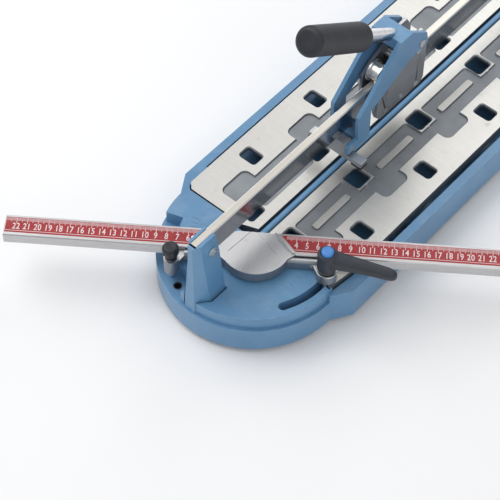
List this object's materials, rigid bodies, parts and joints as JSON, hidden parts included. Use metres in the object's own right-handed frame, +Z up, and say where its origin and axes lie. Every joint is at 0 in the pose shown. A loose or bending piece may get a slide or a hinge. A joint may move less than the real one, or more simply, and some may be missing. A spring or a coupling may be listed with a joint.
{
  "type": "tile cutter",
  "caption": "Manual tile cutter with a guide rail over sprung tables, a swivelling graduated fence, a clamping lever and a sliding carriage with a scoring wheel.",
  "frame": {"origin": "centre of the footprint, fence and rulers included, on the surface that the feet stand on", "axes": "+X to the right as seen from the front head, +Y along the guide rail from the front head to the rear head, +Z up"},
  "size_m": [0.4026, 0.9194, 0.272],
  "materials": {
    "blue_paint": "gloss paint on a fine cast texture",
    "cast_aluminium": "satin, shot-blasted casting with machined top faces",
    "extruded_aluminium": "brushed along its length, anodised",
    "rail_chrome": "hard chromed and ground",
    "bright_steel": "zinc plated",
    "dark_steel": "blackened",
    "spring_steel": "oiled wire",
    "bronze": "turned bronze",
    "red_scale": "printed red film with white graduations",
    "black_plastic": "fine grained moulded plastic",
    "lever_plastic": "glass-filled plastic with a fine grain",
    "blue_plastic": "smooth moulded plastic",
    "black_rubber": "matt rubber",
    "carbide": "ground carbide"
  },
  "bodies": {
    "frame": {"base_casting": "blue_paint", "breaking_ridge": "blue_paint", "ridge_pins": "bright_steel", "rubber_feet": "black_rubber", "foot_screws": "bright_steel", "index_bushes": "dark_steel", "pivot_bush": "bronze", "guide_rail": "rail_chrome", "front_head": "blue_paint", "rear_head": "blue_paint", "front_head_screws": "bright_steel", "rear_head_screws": "bright_steel", "rail_clamp_bolts": "bright_steel", "rail_clamp_nuts": "bright_steel", "left_table_pins": "bright_steel", "right_table_pins": "bright_steel", "left_table_springs": "spring_steel", "right_table_springs": "spring_steel"},
    "left_table": {"left_table": "cast_aluminium"},
    "right_table": {"right_table": "cast_aluminium"},
    "swivel": {"swivel_casting": "cast_aluminium", "left_ruler": "extruded_aluminium", "right_ruler": "extruded_aluminium", "left_scale": "red_scale", "right_scale": "red_scale", "ruler_screws": "bright_steel", "pivot_bolt": "bright_steel", "pivot_washer": "bright_steel", "plunger_sleeve": "dark_steel", "index_spring": "spring_steel", "clamp_washer": "bright_steel", "clamp_sleeve": "bright_steel", "clamp_tee_nut": "dark_steel", "clamp_stud": "bright_steel"},
    "plunger": {"index_pin": "bright_steel", "index_knob": "black_plastic"},
    "lever": {"clamp_lever": "lever_plastic"},
    "button": {"release_button": "blue_plastic"},
    "carriage": {"carriage_left_plate": "cast_aluminium", "carriage_right_plate": "cast_aluminium", "carriage_spacers": "bright_steel", "carriage_ties": "bright_steel", "roller_axles": "bright_steel"},
    "front_top_roller": {"front_top_roller": "bright_steel"},
    "rear_top_roller": {"rear_top_roller": "bright_steel"},
    "front_bottom_roller": {"front_bottom_roller": "bright_steel"},
    "rear_bottom_roller": {"rear_bottom_roller": "bright_steel"},
    "handle": {"handle_yoke": "blue_paint", "handle_pin": "bright_steel", "handle_tube": "rail_chrome", "handle_grip": "black_plastic", "wheel_holder": "dark_steel", "wheel_axle": "bright_steel", "breaker_pin": "bright_steel"},
    "wheel": {"scoring_wheel": "carbide"},
    "breaker": {"breaker_foot": "cast_aluminium", "breaker_pads": "black_rubber"}
  },
  "joints": [
    {"name": "left_table_tilt", "type": "hinge", "parent": "frame", "child": "left_table", "pos_m": [-0.09845, -0.30531, 0.038], "axis": [0, 1, 0], "range_deg": [0, 1.5], "stiffness_Nm_per_rad": 10, "springref_deg": -6.88, "deforming": ["left_table_springs"]},
    {"name": "right_table_tilt", "type": "hinge", "parent": "frame", "child": "right_table", "pos_m": [0.06956, -0.30531, 0.038], "axis": [0, 1, 0], "range_deg": [-1.5, 0], "stiffness_Nm_per_rad": 10, "springref_deg": 6.88, "deforming": ["right_table_springs"]},
    {"name": "fence_swivel", "type": "hinge", "parent": "frame", "child": "swivel", "pos_m": [-0.01444, -0.30531, 0.0495], "axis": [0, 0, 1], "range_deg": [-36, 9]},
    {"name": "index_pull", "type": "slide", "parent": "swivel", "child": "plunger", "axis": [0, 0, 1], "range_m": [0, 0.007], "stiffness_N_per_m": 800, "springref_m": -0.005, "deforming": ["index_spring"]},
    {"name": "lever_turn", "type": "hinge", "parent": "swivel", "child": "lever", "pos_m": [0.06373, -0.2946, 0.0637], "axis": [0, 0, 1], "range_deg": [-90, 40]},
    {"name": "button_push", "type": "slide", "parent": "lever", "child": "button", "axis": [0, 0, -1], "range_m": [0, 0.003], "stiffness_N_per_m": 400, "springref_m": -0.004},
    {"name": "carriage_slide", "type": "slide", "parent": "frame", "child": "carriage", "axis": [0, 1, 0], "range_m": [-0.122, 0.478]},
    {"name": "handle_press", "type": "hinge", "parent": "carriage", "child": "handle", "pos_m": [-0.01444, -0.08531, 0.1505], "axis": [1, 0, 0], "range_deg": [0, 10], "stiffness_Nm_per_rad": 8, "springref_deg": -17.19},
    {"name": "wheel_spin", "type": "hinge", "parent": "handle", "child": "wheel", "pos_m": [-0.01444, -0.16731, 0.0735], "axis": [1, 0, 0], "continuous": true},
    {"name": "breaker_swing", "type": "hinge", "parent": "handle", "child": "breaker", "pos_m": [-0.01444, -0.18431, 0.087], "axis": [1, 0, 0], "range_deg": [-12, 12]},
    {"name": "front_top_roller_spin", "type": "hinge", "parent": "carriage", "child": "front_top_roller", "pos_m": [-0.01444, -0.12831, 0.13353], "axis": [1, 0, 0], "continuous": true},
    {"name": "rear_top_roller_spin", "type": "hinge", "parent": "carriage", "child": "rear_top_roller", "pos_m": [-0.01444, -0.08231, 0.13353], "axis": [1, 0, 0], "continuous": true},
    {"name": "front_bottom_roller_spin", "type": "hinge", "parent": "carriage", "child": "front_bottom_roller", "pos_m": [-0.01444, -0.12831, 0.08847], "axis": [1, 0, 0], "continuous": true},
    {"name": "rear_bottom_roller_spin", "type": "hinge", "parent": "carriage", "child": "rear_bottom_roller", "pos_m": [-0.01444, -0.08231, 0.08847], "axis": [1, 0, 0], "continuous": true}
  ],
  "couplings": [
    {"joint": "front_top_roller_spin", "follows": "carriage_slide", "rad_per_m": -110.74},
    {"joint": "rear_top_roller_spin", "follows": "carriage_slide", "rad_per_m": -110.74},
    {"joint": "front_bottom_roller_spin", "follows": "carriage_slide", "rad_per_m": 110.74},
    {"joint": "rear_bottom_roller_spin", "follows": "carriage_slide", "rad_per_m": 110.74}
  ]
}
